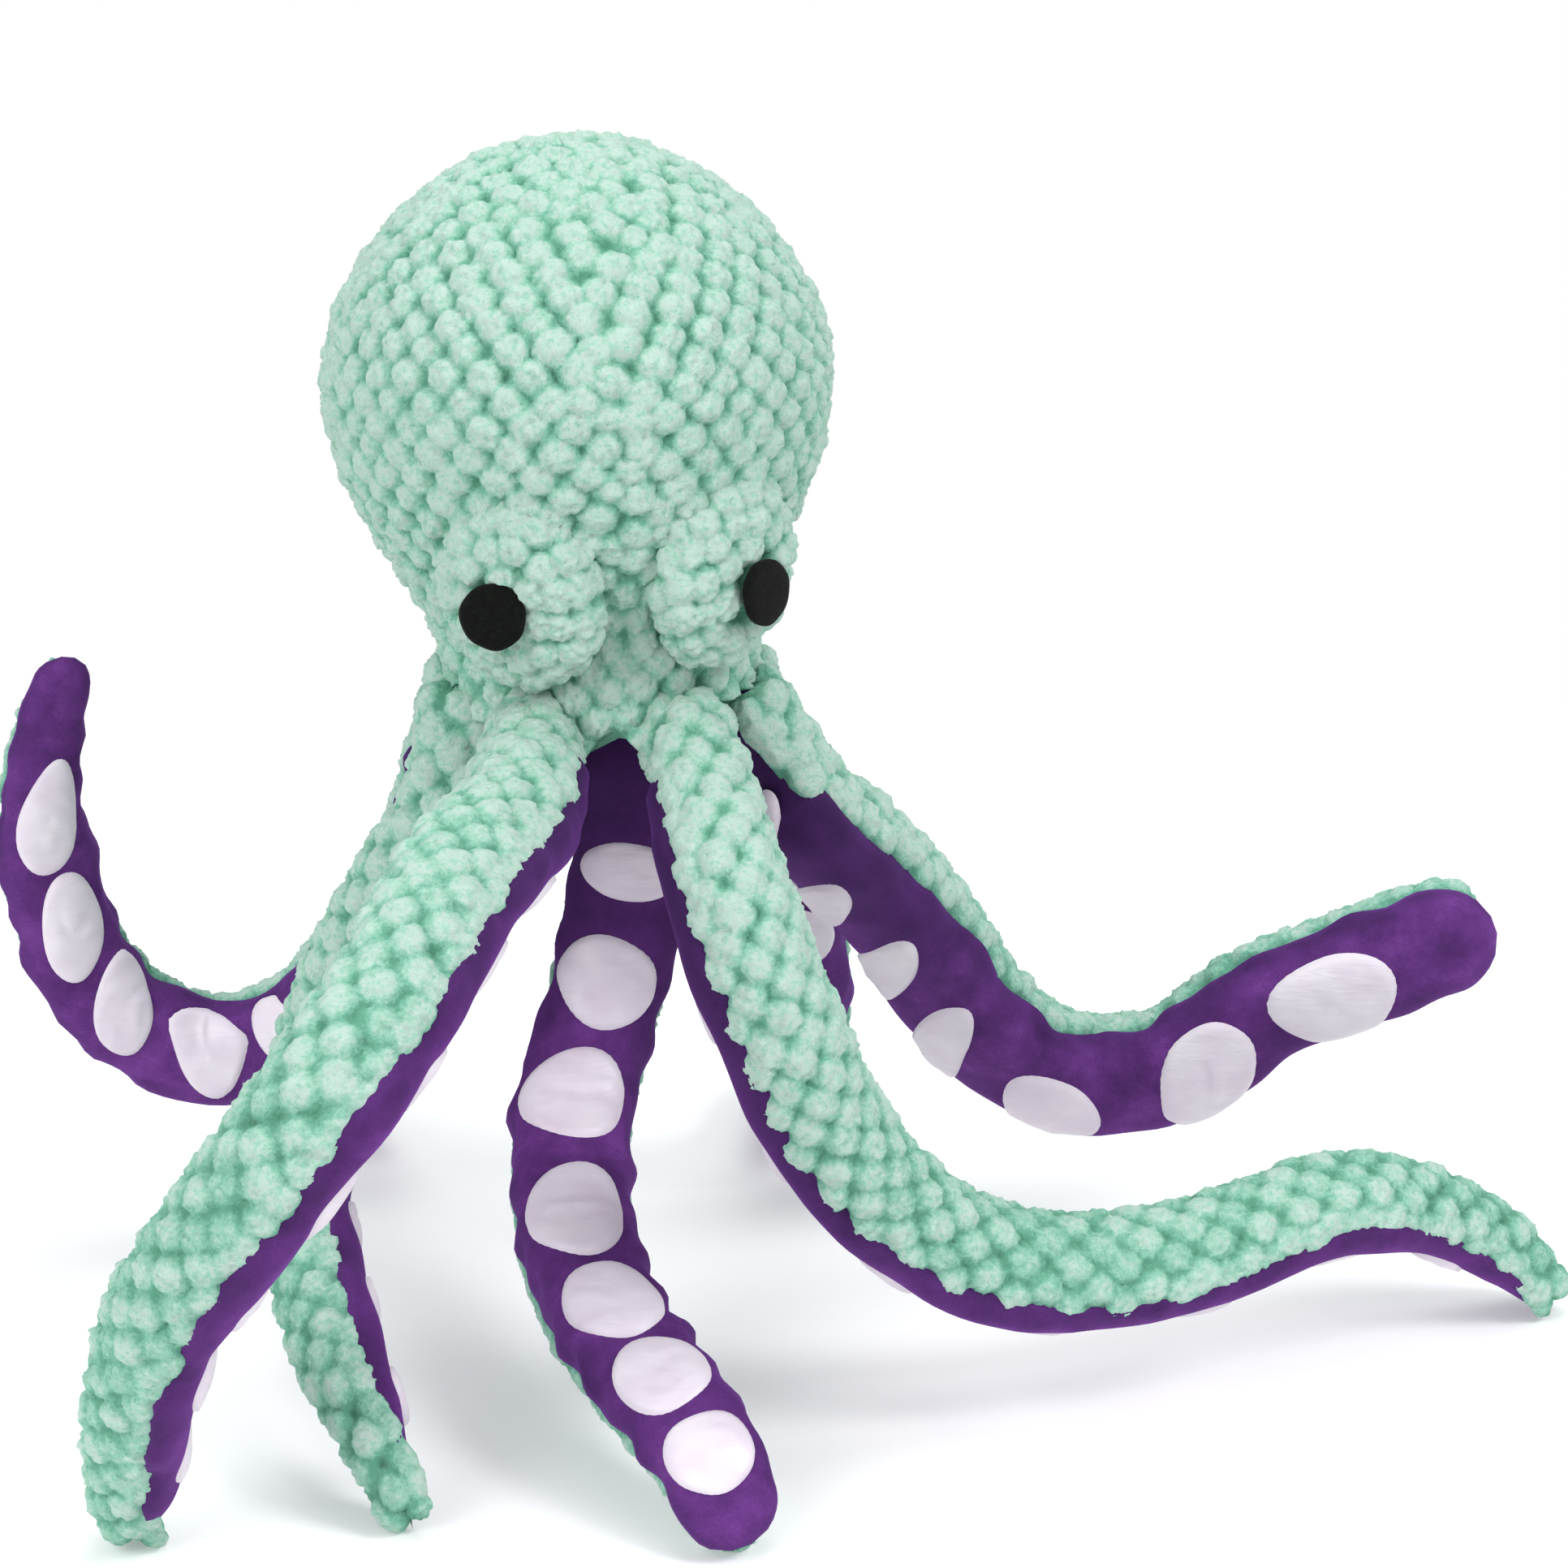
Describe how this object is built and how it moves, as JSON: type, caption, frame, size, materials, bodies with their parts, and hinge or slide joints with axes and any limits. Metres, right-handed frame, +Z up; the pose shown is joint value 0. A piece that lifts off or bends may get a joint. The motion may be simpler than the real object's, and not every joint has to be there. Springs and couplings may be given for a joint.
{
  "type": "plush octopus",
  "caption": "Stuffed octopus toy with a pear-shaped bump-fleece head, raised eye pads with felt eyes, and long curling arms lined with pale suckers.",
  "frame": {"origin": "On the floor that the arm tips stand on, under the middle of the bounding box of the whole toy.", "axes": "+Z up through the head, -Y the way the face looks (turned 12 to 13 degrees towards +X), +X to the right of someone facing the toy, along its longest extent."},
  "size_m": [0.3536, 0.3106, 0.2672],
  "materials": {
    "mint_fleece": "matte",
    "purple_velboa": "matte",
    "white_satin": "satin",
    "black_felt": "matte",
    "fibre_fill": "matte"
  },
  "bodies": {
    "head": {"head_panel_front_right": "mint_fleece", "head_panel_back_right": "mint_fleece", "head_panel_back_left": "mint_fleece", "head_panel_front_left": "mint_fleece", "head_filling": "fibre_fill", "base_disc": "purple_velboa", "eye_pad_left": "mint_fleece", "eye_left": "black_felt", "eye_pad_right": "mint_fleece", "eye_right": "black_felt"},
    "arm_front_right": {"arm_front_right_back": "mint_fleece", "arm_front_right_belly": "purple_velboa", "arm_front_right_suckers": "white_satin", "arm_front_right_filling": "fibre_fill"},
    "arm_right": {"arm_right_back": "mint_fleece", "arm_right_belly": "purple_velboa", "arm_right_suckers": "white_satin", "arm_right_filling": "fibre_fill"},
    "arm_back_right": {"arm_back_right_back": "mint_fleece", "arm_back_right_belly": "purple_velboa", "arm_back_right_suckers": "white_satin", "arm_back_right_filling": "fibre_fill"},
    "arm_back_centre": {"arm_back_centre_back": "mint_fleece", "arm_back_centre_belly": "purple_velboa", "arm_back_centre_suckers": "white_satin", "arm_back_centre_filling": "fibre_fill"},
    "arm_back_left": {"arm_back_left_back": "mint_fleece", "arm_back_left_belly": "purple_velboa", "arm_back_left_suckers": "white_satin", "arm_back_left_filling": "fibre_fill"},
    "arm_rear_left": {"arm_rear_left_back": "mint_fleece", "arm_rear_left_belly": "purple_velboa", "arm_rear_left_suckers": "white_satin", "arm_rear_left_filling": "fibre_fill"},
    "arm_left": {"arm_left_back": "mint_fleece", "arm_left_belly": "purple_velboa", "arm_left_suckers": "white_satin", "arm_left_filling": "fibre_fill"},
    "arm_front_left": {"arm_front_left_back": "mint_fleece", "arm_front_left_belly": "purple_velboa", "arm_front_left_suckers": "white_satin", "arm_front_left_filling": "fibre_fill"}
  },
  "joints": [
    {"name": "arm_front_right_lift", "type": "hinge", "parent": "head", "child": "arm_front_right", "pos_m": [-0.01996, -0.04009, 0.15], "axis": [-0.8192, -0.5736, 0], "range_deg": [-25, 45]},
    {"name": "arm_right_lift", "type": "hinge", "parent": "head", "child": "arm_right", "pos_m": [-0.00743, -0.02122, 0.15], "axis": [-0.2103, -0.9776, 0], "range_deg": [-3, 45]},
    {"name": "arm_back_right_lift", "type": "hinge", "parent": "head", "child": "arm_back_right", "pos_m": [-0.01109, 0.00114, 0.15], "axis": [0.5108, -0.8597, 0], "range_deg": [-2, 45]},
    {"name": "arm_back_centre_lift", "type": "hinge", "parent": "head", "child": "arm_back_centre", "pos_m": [-0.02897, 0.01504, 0.15], "axis": [0.9592, -0.2828, 0], "range_deg": [-20, 10]},
    {"name": "arm_back_left_lift", "type": "hinge", "parent": "head", "child": "arm_back_left", "pos_m": [-0.05154, 0.01307, 0.15], "axis": [0.8955, 0.4451, 0], "range_deg": [-2, 45]},
    {"name": "arm_rear_left_lift", "type": "hinge", "parent": "head", "child": "arm_rear_left", "pos_m": [-0.06674, -0.00373, 0.15], "axis": [0.3537, 0.9354, 0], "range_deg": [-2, 45]},
    {"name": "arm_left_lift", "type": "hinge", "parent": "head", "child": "arm_left", "pos_m": [-0.06645, -0.02638, 0.15], "axis": [-0.3769, 0.9262, 0], "range_deg": [-10, 8]},
    {"name": "arm_front_left_lift", "type": "hinge", "parent": "head", "child": "arm_front_left", "pos_m": [-0.05084, -0.04279, 0.15], "axis": [-0.9063, 0.4226, 0], "range_deg": [-4, 22]}
  ]
}
